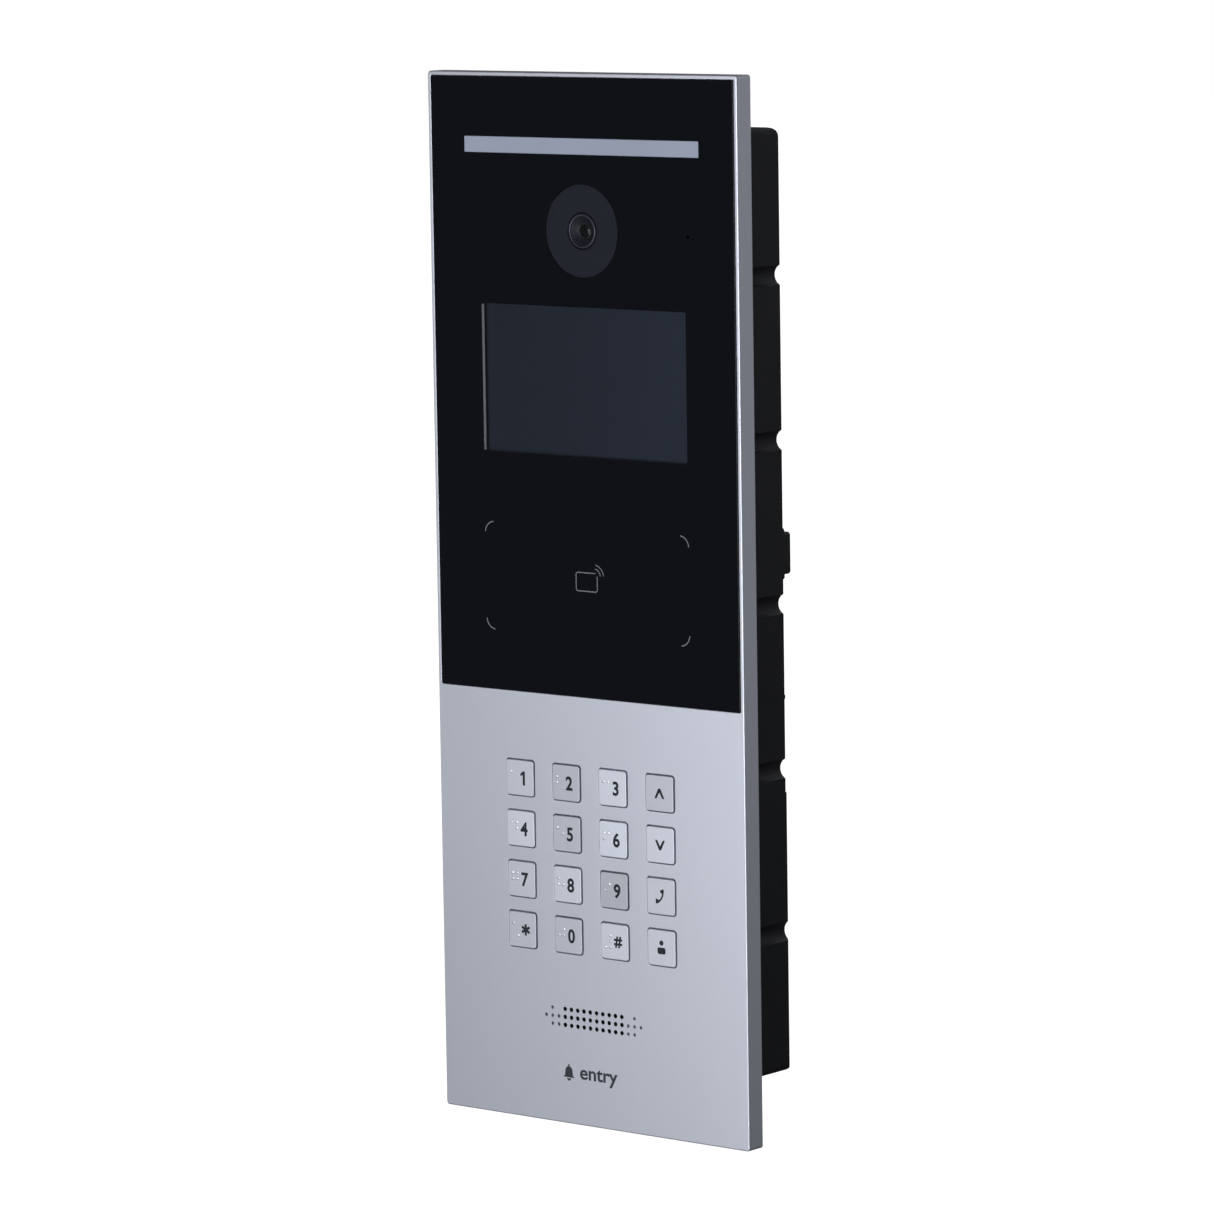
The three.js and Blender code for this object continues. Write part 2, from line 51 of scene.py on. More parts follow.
def lo_hi(node):
    lo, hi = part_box(node)
    return [v / MM for v in lo], [v / MM for v in hi]


F_LO, F_HI = lo_hi("front_frame")
G_LO, G_HI = lo_hi("cover_glass")
FRONT = F_LO[1]                      # the panel's front plane
PW, PH = F_HI[0] - F_LO[0], F_HI[2] - F_LO[2]
GLASS_Y = G_LO[1]

# ------------------------------------------------------------------ camera
f_px, img = 5896.36, 1214.0
right = Vector((0.77828078, 0.6277356, -0.01506816))
down = Vector((0.06877924, -0.10907764, -0.99165089))
fwd = Vector((-0.62413817, 0.77074645, -0.12806821))
cam_data = bpy.data.cameras.new("camera")
cam_data.sensor_fit = "HORIZONTAL"
cam_data.sensor_width = 36.0
cam_data.lens = f_px / img * 36.0
cam_data.clip_start = 0.05
cam_data.clip_end = 100
cam = bpy.data.objects.new("camera", cam_data)
scene.collection.objects.link(cam)
rot = Matrix((right, -down, -fwd)).transposed().to_4x4()
cam.matrix_world = Matrix.Translation(Vector((1.38828, -1.71093, 0.28330))) @ rot
scene.camera = cam
scene.view_settings.view_transform = "Standard"

# ------------------------------------------------------------------ material helpers
def new_mat(name):
    m = bpy.data.materials.new(name)
    m.use_nodes = True
    nt = m.node_tree
    nt.nodes.clear()
    out = nt.nodes.new("ShaderNodeOutputMaterial")
    return m, nt, out


def N(nt, kind, **kw):
    n = nt.nodes.new(kind)
    for k, v in kw.items():
        if k in n.inputs.keys():
            n.inputs[k].default_value = v
        else:
            setattr(n, k, v)
    return n


def coords(nt, scale=(1, 1, 1), loc=(0, 0, 0), rot=(0, 0, 0)):
    tc = nt.nodes.new("ShaderNodeTexCoord")
    mp = nt.nodes.new("ShaderNodeMapping")
    mp.inputs["Scale"].default_value = scale
    mp.inputs["Location"].default_value = loc
    mp.inputs["Rotation"].default_value = rot
    nt.links.new(tc.outputs["Object"], mp.inputs["Vector"])
    return mp.outputs["Vector"]


def noise(nt, vec, scale=1.0, detail=3.0, rough=0.55):
    n = nt.nodes.new("ShaderNodeTexNoise")
    n.inputs["Scale"].default_value = scale
    n.inputs["Detail"].default_value = detail
    n.inputs["Roughness"].default_value = rough
    nt.links.new(vec, n.inputs["Vector"])
    return n.outputs["Fac"]


def ramp(nt, fac, stops):
    r = nt.nodes.new("ShaderNodeValToRGB")
    e = r.color_ramp.elements
    while len(e) > 1:
        e.remove(e[0])
    e[0].position, e[0].color = stops[0][0], (*stops[0][1], 1)
    for p, c in stops[1:]:
        x = e.new(p)
        x.color = (*c, 1)
    nt.links.new(fac, r.inputs["Fac"])
    return r.outputs["Color"]


def maprange(nt, fac, a, b, c, d):
    m = nt.nodes.new("ShaderNodeMapRange")
    for k, v in zip(("From Min", "From Max", "To Min", "To Max"), (a, b, c, d)):
        m.inputs[k].default_value = v
    nt.links.new(fac, m.inputs["Value"])
    return m.outputs["Result"]


def bump(nt, height, strength, distance, normal=None):
    b = nt.nodes.new("ShaderNodeBump")
    b.inputs["Strength"].default_value = strength
    b.inputs["Distance"].default_value = distance
    nt.links.new(height, b.inputs["Height"])
    if normal is not None:
        nt.links.new(normal, b.inputs["Normal"])
    return b.outputs["Normal"]


def scaled(c, k):
    return tuple(min(1.0, x * k) for x in c)


def metal(name, base, rough, hair=(3200, 3200, 36), contrast=0.05, rough_var=0.05, bump_s=0.12, aniso=0.0):
    """Brushed or drawn metal: hairlines in colour, roughness and height, with a slow cloud over them."""
    m, nt, out = new_mat(name)
    p = N(nt, "ShaderNodeBsdfPrincipled", Metallic=1.0)
    if aniso:
        p.inputs["Anisotropic"].default_value = aniso
    h = noise(nt, coords(nt, hair), 1.0, 3.0, 0.6)
    cloud = noise(nt, coords(nt, (14, 14, 9)), 1.0, 2.0, 0.5)
    mix = N(nt, "ShaderNodeMix", data_type="FLOAT")
    mix.inputs[0].default_value = 0.22
    nt.links.new(h, mix.inputs[2])
    nt.links.new(cloud, mix.inputs[3])
    fac = mix.outputs[0]
    col = ramp(nt, fac, [(0.25, scaled(base, 1 - contrast)), (0.75, scaled(base, 1 + contrast))])
    nt.links.new(col, p.inputs["Base Color"])
    nt.links.new(maprange(nt, fac, 0.3, 0.7, rough - rough_var, rough + rough_var), p.inputs["Roughness"])
    nt.links.new(bump(nt, h, bump_s, 0.00002), p.inputs["Normal"])
    nt.links.new(p.outputs[0], out.inputs["Surface"])
    return m


def plastic(name, base, rough, grain=2600, grain_s=0.25, rough_var=0.06, contrast=0.12, spec=0.5, depth=0.00004):
    """Moulded plastic or rubber: fine spark-eroded grain, a little uneven in tone."""
    m, nt, out = new_mat(name)
    p = N(nt, "ShaderNodeBsdfPrincipled")
    p.inputs["Specular IOR Level"].default_value = spec
    g = noise(nt, coords(nt, (grain, grain, grain)), 1.0, 2.0, 0.5)
    c = noise(nt, coords(nt, (40, 40, 40)), 1.0, 3.0, 0.6)
    nt.links.new(ramp(nt, c, [(0.3, scaled(base, 1 - contrast)), (0.7, scaled(base, 1 + contrast))]), p.inputs["Base Color"])
    nt.links.new(maprange(nt, c, 0.3, 0.7, rough - rough_var, rough + rough_var), p.inputs["Roughness"])
    nt.links.new(bump(nt, g, grain_s, depth), p.inputs["Normal"])
    nt.links.new(p.outputs[0], out.inputs["Surface"])
    return m


def gloss(name, base, rough, spec=0.5, smear=0.25, coat=0.0):
    """Polished glass or lacquer with faint wipe marks in its gloss."""
    m, nt, out = new_mat(name)
    p = N(nt, "ShaderNodeBsdfPrincipled")
    p.inputs["Specular IOR Level"].default_value = spec
    if coat:
        p.inputs["Coat Weight"].default_value = coat
        p.inputs["Coat Roughness"].default_value = 0.03
    a = noise(nt, coords(nt, (22, 22, 9), rot=(0, 0.5, 0)), 1.0, 4.0, 0.6)
    b = noise(nt, coords(nt, (900, 900, 900)), 1.0, 2.0, 0.5)
    nt.links.new(maprange(nt, a, 0.3, 0.7, rough * (1 - smear), rough * (1 + smear)), p.inputs["Roughness"])
    nt.links.new(ramp(nt, b, [(0.3, scaled(base, 0.94)), (0.7, scaled(base, 1.06))]), p.inputs["Base Color"])
    nt.links.new(p.outputs[0], out.inputs["Surface"])
    return m


def pane(name, tint, rough=0.04, mirror=0.6):
    """A clear window: what is behind it shows through, with a reflection on top."""
    m, nt, out = new_mat(name)
    t = N(nt, "ShaderNodeBsdfTransparent")
    t.inputs["Color"].default_value = (*tint, 1)
    g = N(nt, "ShaderNodeBsdfGlossy")
    g.inputs["Color"].default_value = (mirror, mirror, mirror, 1)
    a = noise(nt, coords(nt, (22, 22, 9), rot=(0, 0.5, 0)), 1.0, 4.0, 0.6)
    nt.links.new(maprange(nt, a, 0.3, 0.7, rough * 0.8, rough * 1.2), g.inputs["Roughness"])
    f = N(nt, "ShaderNodeFresnel", IOR=1.45)
    mx = N(nt, "ShaderNodeMixShader")
    nt.links.new(f.outputs[0], mx.inputs[0])
    nt.links.new(t.outputs[0], mx.inputs[1])
    nt.links.new(g.outputs[0], mx.inputs[2])
    nt.links.new(mx.outputs[0], out.inputs["Surface"])
    return m


ALU = metal("brushed_aluminium", (0.80, 0.822, 0.90), 0.46, contrast=0.015, rough_var=0.012, bump_s=0.05)
# Speaker-hole walls: aluminium painted near-black, which is painted shade for the deep narrow holes. The higher
# roughness is their rougher drilled finish.
HOLE_WALL_SHADE = metal("hole_wall_painted_shade", (0.05, 0.052, 0.056), 0.55, hair=(900, 900, 900), contrast=0.2)
# Dimple walls and floors: aluminium painted mid-grey, which is painted shade in the shallow blind holes.
DIMPLE_SHADE = metal("dimple_painted_shade", (0.26, 0.27, 0.29), 0.60, hair=(900, 900, 900), contrast=0.1)
KEY_SHADED_COPIES = {}


def key_metal(light_shade):
    """Lighter and darker copies of the key metal, one per brightness: painted light and shade that gives each key its
    own brightness.
    """
    k = round(light_shade / 0.03) * 0.03
    if k not in KEY_SHADED_COPIES:
        KEY_SHADED_COPIES[k] = metal("key_metal_%02d" % round(k * 100), scaled((0.86, 0.885, 0.96), k), KEY_ROUGH, contrast=0.02, rough_var=0.012, bump_s=0.05)
    return KEY_SHADED_COPIES[k]


KEY_ROUGH = 0.54
DOT = metal("dot_metal", (0.92, 0.94, 0.98), 0.40, hair=(900, 900, 900), contrast=0.02, rough_var=0.02, bump_s=0.03)
GLASS = gloss("black_glass", (0.0044, 0.0050, 0.0076), 0.05, spec=0.32)
PANE = pane("clear_window", (0.93, 0.94, 0.95), mirror=0.5)
PANE_CAM = pane("smoked_window", (0.86, 0.87, 0.90), mirror=0.5)
DIFF = plastic("milk_diffuser", (0.40, 0.44, 0.55), 0.45, grain=900, grain_s=0.03, contrast=0.02)
LCD = metal("lcd_polariser", (0.051, 0.062, 0.092), 0.40, hair=(900, 900, 900), contrast=0.008, rough_var=0.003, bump_s=0.01)
LIP = metal("bezel_lip_steel", (0.92, 0.925, 0.945), 0.5, hair=(900, 900, 900), contrast=0.02)
LCD_EDGE = plastic("lcd_mask", (0.012, 0.012, 0.014), 0.5)
SHROUD = plastic("shroud_plastic", (0.0150, 0.0188, 0.0335), 0.55, grain=1800, grain_s=0.06, contrast=0.03)
RING = metal("lens_ring", (0.21, 0.22, 0.26), 0.46, hair=(900, 900, 900), contrast=0.05)
LENS_IN = plastic("lens_barrel_black", (0.013, 0.014, 0.021), 0.5, grain=1500, grain_s=0.05)
LENS = gloss("coated_lens", (0.010, 0.012, 0.009), 0.12, spec=0.35)
RETAIN = metal("retainer_ring", (0.15, 0.145, 0.11), 0.42, hair=(900, 900, 900), contrast=0.05)
PRINT = plastic("grey_print", (0.19, 0.205, 0.235), 0.5, grain=3000, grain_s=0.02, contrast=0.04)
LEGEND = plastic("legend_fill", (0.022, 0.024, 0.034), 0.65, grain=3000, grain_s=0.05, spec=0.25)
MARK = plastic("mark_print", (0.040, 0.043, 0.055), 0.6, grain=3000, grain_s=0.05, spec=0.3)
BLACK = plastic("housing_plastic", (0.0054, 0.0058, 0.0080), 0.55, grain=1500, grain_s=0.5, rough_var=0.05, contrast=0.10, spec=0.28)
DARK = plastic("dark_plastic", (0.03, 0.03, 0.034), 0.5)
RUBBER = plastic("black_rubber", (0.018, 0.018, 0.018), 0.85, grain=1200, grain_s=0.3)
MAT_R = plastic("grey_silicone", (0.22, 0.23, 0.25), 0.7, grain=1200, grain_s=0.2)
FOAM = plastic("closed_cell_foam", (0.02, 0.02, 0.022), 0.95, grain=700, grain_s=0.8, depth=0.0002)
STEEL = metal("plated_steel", (0.62, 0.63, 0.65), 0.32, hair=(500, 500, 500), contrast=0.06)
SCREW = metal("screw_steel", (0.55, 0.56, 0.58), 0.34, hair=(900, 900, 900), contrast=0.08)
PLAIN_ALU = metal("heat_aluminium", (0.70, 0.71, 0.73), 0.45, hair=(300, 300, 2400), contrast=0.05)
GREEN_T = plastic("terminal_green", (0.025, 0.16, 0.06), 0.5)
CLOTH = plastic("speaker_cloth", (0.012, 0.012, 0.013), 0.95, grain=2200, grain_s=1.0, depth=0.0002)
PAPER = plastic("speaker_paper", (0.03, 0.03, 0.03), 0.8, grain=900, grain_s=0.5)
BRASS_C = metal("contact_gold", (0.80, 0.60, 0.25), 0.3, hair=(900, 900, 900), contrast=0.05)


def board_mat(name="solder_mask"):
    m, nt, out = new_mat(name)
    p = N(nt, "ShaderNodeBsdfPrincipled", Roughness=0.38)
    v = nt.nodes.new("ShaderNodeTexVoronoi")
    v.feature = "DISTANCE_TO_EDGE"
    v.inputs["Scale"].default_value = 1.0
    nt.links.new(coords(nt, (260, 260, 260)), v.inputs["Vector"])
    nt.links.new(ramp(nt, v.outputs["Distance"], [(0.03, (0.03, 0.16, 0.07)), (0.06, (0.015, 0.085, 0.04))]), p.inputs["Base Color"])
    nt.links.new(bump(nt, v.outputs["Distance"], 0.1, 0.00003), p.inputs["Normal"])
    nt.links.new(p.outputs[0], out.inputs["Surface"])
    return m


BOARD = board_mat()

# ------------------------------------------------------------------ mesh helpers
def rr(w, h, r, n, cx=0.0, cz=0.0):
    """Rounded rectangle, counter-clockwise in (x, z)."""
    pts = []
    for sx, sz, start in ((1, 1, 0), (-1, 1, 90), (-1, -1, 180), (1, -1, 270)):
        for i in range(n + 1):
            a = math.radians(start + 90.0 * i / n)
            pts.append((cx + sx * (w / 2 - r) + r * math.cos(a), cz + sz * (h / 2 - r) + r * math.sin(a)))
    return pts


def circ(r, n, cx=0.0, cz=0.0, turn=0.0):
    return [(cx + r * math.cos(2 * math.pi * (i + turn) / n), cz + r * math.sin(2 * math.pi * (i + turn) / n)) for i in range(n)]


class Build:
    """Collects faces in millimetres. Outlines are lists of (x, z) at a depth y."""

    def __init__(self):
        self.v, self.f, self.m = [], [], []
        self.mat = 0

    def loop(self, pts, y):
        i = len(self.v)
        self.v += [(x, y, z) for x, z in pts]
        return list(range(i, i + len(pts)))

    def loop3(self, pts):
        i = len(self.v)
        self.v += [tuple(p) for p in pts]
        return list(range(i, i + len(pts)))

    def face(self, idx, flip=False):
        self.f.append(tuple(reversed(idx)) if flip else tuple(idx))
        self.m.append(self.mat)

    def bridge(self, a, b, flip=False, close=True):
        n = len(a)
        for i in range(n if close else n - 1):
            j = (i + 1) % n
            self.face((a[i], a[j], b[j], b[i]), flip)

    def cap(self, outer, holes=(), normal=(0, -1, 0)):
        loops = [outer] + list(holes)
        flat = [i for l in loops for i in l]
        tris = tessellate_polygon([[Vector(self.v[i]) for i in l] for l in loops])
        nv = Vector(normal)
        for t in tris:
            a, b, c = (flat[k] for k in t)
            va, vb, vc = (Vector(self.v[k]) for k in (a, b, c))
            if (vb - va).cross(vc - va).dot(nv) < 0:
                b, c = c, b
            self.face((a, b, c))

    def mesh(self, name, mats, body=ROOT, smooth=38, weighted=True, merge=0.0005):
        me = bpy.data.meshes.new(name)
        me.from_pydata([(x * MM, y * MM, z * MM) for x, y, z in self.v], [], self.f)
        for mt in mats:
            me.materials.append(mt)
        for poly, k in zip(me.polygons, self.m):
            poly.material_index = k
        bm = bmesh.new()
        bm.from_mesh(me)
        bmesh.ops.remove_doubles(bm, verts=bm.verts, dist=merge * MM)
        bmesh.ops.dissolve_degenerate(bm, edges=bm.edges, dist=1e-8)
        bm.to_mesh(me)
        bm.free()
        return place(name, me, body, smooth, weighted)


def place(name, me, body, smooth=38, weighted=True):
    for p in me.polygons:
        p.use_smooth = True
    me.set_sharp_from_angle(angle=math.radians(smooth))
    ob = bpy.data.objects.new(name, me)
    scene.collection.objects.link(ob)
    if weighted:
        w = ob.modifiers.new("weighted", "WEIGHTED_NORMAL")
        w.keep_sharp = True
        w.weight = 80
    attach(ob, body)
    return ob


def arc_steps(n):
    return [math.radians(90.0 * i / n) for i in range(n + 1)]


def hole_edge(b, outline, y, f, depth_y, n=3, wall=None):
    """A hole's loops from the face at y: a convex round of radius f, then a straight wall to depth_y. outline(o) gives the outline grown by o."""
    first, last = None, None
    for a in arc_steps(n):
        l = b.loop(outline(f * (1 - math.sin(a))), y + f * (1 - math.cos(a)))
        if last:
            b.bridge(last, l, flip=False)
        first = first or l
        last = l
    end = b.loop(outline(0), depth_y)
    keep = b.mat
    b.mat = keep if wall is None else wall
    b.bridge(last, end)
    b.mat = keep
    return first, end


def rrf(w, h, r, n, cx, cz):
    return lambda o: rr(w + 2 * o, h + 2 * o, max(0.05, r + o), n, cx, cz)


def cf(r, n, cx, cz):
    return lambda o: circ(r + o, n, cx, cz)


def lathe(b, profile, n, cx, cz, close=True):
    """Turned about an axis along Y. profile is [(radius, y)], run so that its faces point out; points with radius 0 are on the axis."""
    rings = []
    for r, y in profile:
        if r <= 1e-6:
            rings.append([len(b.v)])
            b.v.append((cx, y, cz))
        else:
            rings.append(b.loop(circ(r, n, cx, cz), y))
    for a, c in zip(rings, rings[1:] + ([rings[0]] if close else [])):
        if a == c or (len(a) == 1 and len(c) == 1):
            continue
        if len(a) == 1:
            for i in range(n):
                b.face((a[0], c[(i + 1) % n], c[i]), flip=False)
        elif len(c) == 1:
            for i in range(n):
                b.face((a[i], a[(i + 1) % n], c[0]), flip=False)
        else:
            b.bridge(a, c)
    return rings


def orient(me):
    bm = bmesh.new()
    bm.from_mesh(me)
    bmesh.ops.recalc_face_normals(bm, faces=bm.faces)
    bm.to_mesh(me)
    bm.free()


def slab(b, outline, y0, y1, f=0.0, n=2, holes=()):
    """A closed plate from y0 (front) to y1 with its front edge rounded by f. outline(o) as above; holes are outlines too."""
    loops = []
    if f > 0:
        for a in arc_steps(n):
            loops.append(b.loop(outline(-f * (1 - math.sin(a))), y0 + f * (1 - math.cos(a))))
    else:
        loops.append(b.loop(outline(0), y0))
    loops.append(b.loop(outline(0), y1))
    for p, q in zip(loops, loops[1:]):
        b.bridge(q, p)
    hf, hb = [], []
    for h in holes:
        p, q = b.loop(h, y0), b.loop(h, y1)
        b.bridge(p, q)
        hf.append(p)
        hb.append(q)
    b.cap(loops[0], hf, (0, -1, 0))
    b.cap(loops[-1], hb, (0, 1, 0))


def hide(piece, *names):
    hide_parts(*names)
    return piece


# ------------------------------------------------------------------ front frame
KEY_NAMES = [["key_1", "key_2", "key_3", "key_up"], ["key_4", "key_5", "key_6", "key_down"],
             ["key_7", "key_8", "key_9", "key_call"], ["key_star", "key_0", "key_hash", "key_concierge"]]
KEYS = {}
for row in KEY_NAMES:
    for k in row:
        lo, hi = lo_hi(k)
        KEYS[k] = ((lo[0] + hi[0]) / 2, (lo[2] + hi[2]) / 2)
KEY_W, KEY_H, KEY_GAP, KEY_R, KEY_DROP = 13.2, 13.6, 0.45, 1.1, 0.1
HOLE_X = [(c - 4.5) * 3.07 for c in range(10)]
SPK_LO, SPK_HI = lo_hi("speaker_mesh")
SPK_Z = (SPK_LO[2] + SPK_HI[2]) / 2
HOLE_Z = [SPK_Z + 3.1, SPK_Z, SPK_Z - 3.1]
RIM = PW / 2 - G_HI[0] - 0.15
POCKET = (-PW / 2 + RIM, PW / 2 - RIM, G_LO[2] - 0.15, G_HI[2] + 0.15)


def build_frame():
    b = Build()
    outer = rrf(PW, PH, 1.2, 4, 0, 0)
    # outside: front round, side, back chamfer
    loops = []
    f = 0.45
    for a in arc_steps(5):
        loops.append(b.loop(outer(-f * (1 - math.sin(a))), FRONT + f * (1 - math.cos(a))))
    for p, q in zip(loops, loops[1:]):
        b.bridge(q, p)
    back_side = b.loop(outer(0), -0.35)
    back = b.loop(outer(-0.35), 0)
    # side band, with the two screw seats in its lower face
    n = len(back_side)
    seat_rings = []
    for i in range(n):
        j = (i + 1) % n
        quad = (back_side[i], back_side[j], loops[-1][j], loops[-1][i])
        zs = [b.v[k][2] for k in quad]
        xs = [b.v[k][0] for k in quad]
        if max(zs) < -PH / 2 + 0.01 and max(xs) - min(xs) > 50:
            rings = []
            for sx in (-52, 52):
                pts = [(sx + 2.6 * math.cos(t), -4.4 + 2.6 * math.sin(t)) for t in [2 * math.pi * k / 24 for k in range(24)]]
                r0 = b.loop3([(x, y, -PH / 2) for x, y in pts])
                r1 = b.loop3([(x, y, -PH / 2 + 2.2) for x, y in pts])
                b.bridge(r0, r1, flip=True)
                b.cap(r1, (), (0, 0, -1))
                rings.append(r0)
            b.cap(list(quad), rings, (0, 0, -1))
        else:
            b.face(quad)
    b.bridge(back, back_side)
    # front face
    pocket_w, pocket_h = POCKET[1] - POCKET[0], POCKET[3] - POCKET[2]
    pcx, pcz = 0, (POCKET[2] + POCKET[3]) / 2
    pf, pend = hole_edge(b, rrf(pocket_w, pocket_h, 0.7, 3, pcx, pcz), FRONT, 0.12, FRONT + 1.5, 2)
    fronts, ends = [pf], []
    for k, (x, z) in KEYS.items():
        a, e = hole_edge(b, rrf(KEY_W + 2 * KEY_GAP, KEY_H + 2 * KEY_GAP, KEY_R + KEY_GAP, 5, x, z + KEY_DROP), FRONT, 0.09, FRONT + 2.5, 2)
        fronts.append(a)
        ends.append(e)
    for z in HOLE_Z:
        for x in HOLE_X:
            # the speaker holes' walls take the painted-shade material
            a, e = hole_edge(b, cf(0.85, 16, x, z), FRONT, 0.05, FRONT + 2.5, 1, wall=1)
            fronts.append(a)
            ends.append(e)
    p = 3.07
    x0 = HOLE_X[0]
    dimples = [(x0 - p, 1), (x0 - p, 2), (x0 - 2 * p, 0), (x0 - 2 * p, 1), (x0 - 2 * p, 2), (x0 - 3 * p, 1)]
    x1 = HOLE_X[-1]
    dimples += [(x1 + p, 1), (x1 + p, 2), (x1 + 2 * p, 0), (x1 + 2 * p, 1), (x1 + 2 * p, 2), (x1 + 3 * p, 1)]
    for x, k in dimples:
        # the dimple walls and floor take the painted-shade grey
        a, e = hole_edge(b, cf(0.66, 16, x, HOLE_Z[k]), FRONT, 0.05, FRONT + 0.7, 1, wall=2)
        b.mat = 2
        c = b.loop(circ(0.30, 16, x, HOLE_Z[k]), FRONT + 0.95)
        b.bridge(e, c)
        b.cap(c, (), (0, -1, 0))
        b.mat = 0
        fronts.append(a)
    b.cap(loops[0], fronts, (0, -1, 0))
    # openings behind
    up = rrf(123, 205, 3, 4, 0, 74.5)
    lw = rrf(123, 131.5, 3, 4, 0, -107.75)
    u0, u1 = b.loop(up(0), FRONT + 1.5), b.loop(up(0), 0)
    b.bridge(u0, u1)
    b.cap(pend, [u0], (0, -1, 0))
    l0, l1 = b.loop(lw(0), FRONT + 2.5), b.loop(lw(0), 0)
    b.bridge(l0, l1)
    b.cap(l0, ends, (0, 1, 0))
    # gasket groove in the back
    go, gi = rrf(142.6, 393.6, 3, 4, 0, 0), rrf(135.8, 386.8, 2, 4, 0, 0)
    go0, go1 = b.loop(go(0), 0), b.loop(go(0), -1.3)
    gi0, gi1 = b.loop(gi(0), 0), b.loop(gi(0), -1.3)
    b.bridge(go1, go0)
    b.bridge(gi0, gi1)
    b.cap(go1, [gi1], (0, 1, 0))
    b.cap(back, [go0], (0, 1, 0))
    b.cap(gi0, [u1, l1], (0, 1, 0))
    ob = b.mesh("panel_frame", [ALU, HOLE_WALL_SHADE, DIMPLE_SHADE], smooth=32)
    orient(ob.data)
    hide(ob, "front_frame")


build_frame()


# ------------------------------------------------------------------ glass and windows
SC_LO, SC_HI = lo_hi("lcd_bezel")
SCR_Z = (SC_LO[2] + SC_HI[2]) / 2
SH_LO, SH_HI = lo_hi("camera_shroud")
CAM_Z = (SH_LO[2] + SH_HI[2]) / 2
D_LO, D_HI = lo_hi("light_diffuser")
BAR_Z = (D_LO[2] + D_HI[2]) / 2
WIN_W, WIN_H = 98.3, 56.25
BAR_W, BAR_H = 112.3, 6.2
M_LO, M_HI = lo_hi("mic_boot")
MIC = ((M_LO[0] + M_HI[0]) / 2, (M_LO[2] + M_HI[2]) / 2)
GT = G_HI[1] - G_LO[1]


def build_glass():
    b = Build()
    gw, gh = G_HI[0] - G_LO[0], G_HI[2] - G_LO[2]
    gz = (G_HI[2] + G_LO[2]) / 2
    holes = [rr(WIN_W, WIN_H, 0.7, 4, 0, SCR_Z), circ(17.6, 96, 0, CAM_Z), rr(BAR_W, BAR_H, 0.45, 4, 0, BAR_Z),
             circ(0.72, 16, MIC[0], MIC[1]), circ(0.28, 12, MIC[0] + 2.4, MIC[1] - 0.6)]
    slab(b, rrf(gw, gh, 0.7, 4, 0, gz), GLASS_Y, GLASS_Y + GT, 0.22, 3, holes)
    ob = b.mesh("printed_glass", [GLASS], smooth=32)
    hide(ob, "cover_glass")
    b = Build()
    slab(b, rrf(WIN_W - 0.06, WIN_H - 0.06, 0.67, 4, 0, SCR_Z), GLASS_Y, GLASS_Y + 0.35)
    b.mesh("screen_window", [PANE], smooth=30)
    b = Build()
    slab(b, cf(17.57, 96, 0, CAM_Z), GLASS_Y, GLASS_Y + 0.30)
    b.mesh("camera_window", [PANE_CAM], smooth=30)


build_glass()


def build_bar():
    b = Build()
    slab(b, rrf(BAR_W - 0.08, BAR_H - 0.08, 0.42, 4, 0, BAR_Z), GLASS_Y + 0.04, D_LO[1] + 0.1, 0.25, 3)
    # backing flange behind the glass
    slab(b, rrf(D_HI[0] - D_LO[0], D_HI[2] - D_LO[2], 0.5, 4, 0, BAR_Z), D_LO[1] + 0.1, D_HI[1], 0.1, 2)
    ob = b.mesh("milk_light_bar", [DIFF], smooth=32)
    hide(ob, "light_diffuser")


build_bar()


def build_screen():
    b = Build()
    lo, hi = lo_hi("lcd_screen")
    w, h = hi[0] - lo[0], hi[2] - lo[2]
    b.mat = 1
    slab(b, rrf(w, h, 0.4, 2, 0, SCR_Z), lo[1] + 0.35, hi[1], 0.1, 2)
    b.mat = 0
    slab(b, rrf(w - 0.8, h - 0.8, 0.3, 2, 0, SCR_Z), lo[1], lo[1] + 0.3, 0.08, 2)
    ob = b.mesh("screen_stack", [LCD, LCD_EDGE], smooth=32)
    hide(ob, "lcd_screen")
    # the steel bezel's inner lip, folded forward to the glass along the left side
    b = Build()
    xl, zl, zh = -WIN_W / 2 + 0.03, SCR_Z - WIN_H / 2 + 0.5, SCR_Z + WIN_H / 2 - 0.5
    rings = [b.loop([(xl, zl), (xl + w_, zl), (xl + w_, zh), (xl, zh)], GLASS_Y + y_) for y_, w_ in ((0.40, 0.04), (0.95, 0.59), (1.05, 0.59))]
    b.bridge(rings[0], rings[1])
    b.bridge(rings[1], rings[2])
    b.cap(rings[0])
    b.cap(rings[2])
    ob = b.mesh("bezel_lip", [LIP], smooth=32)
    orient(ob.data)


build_screen()


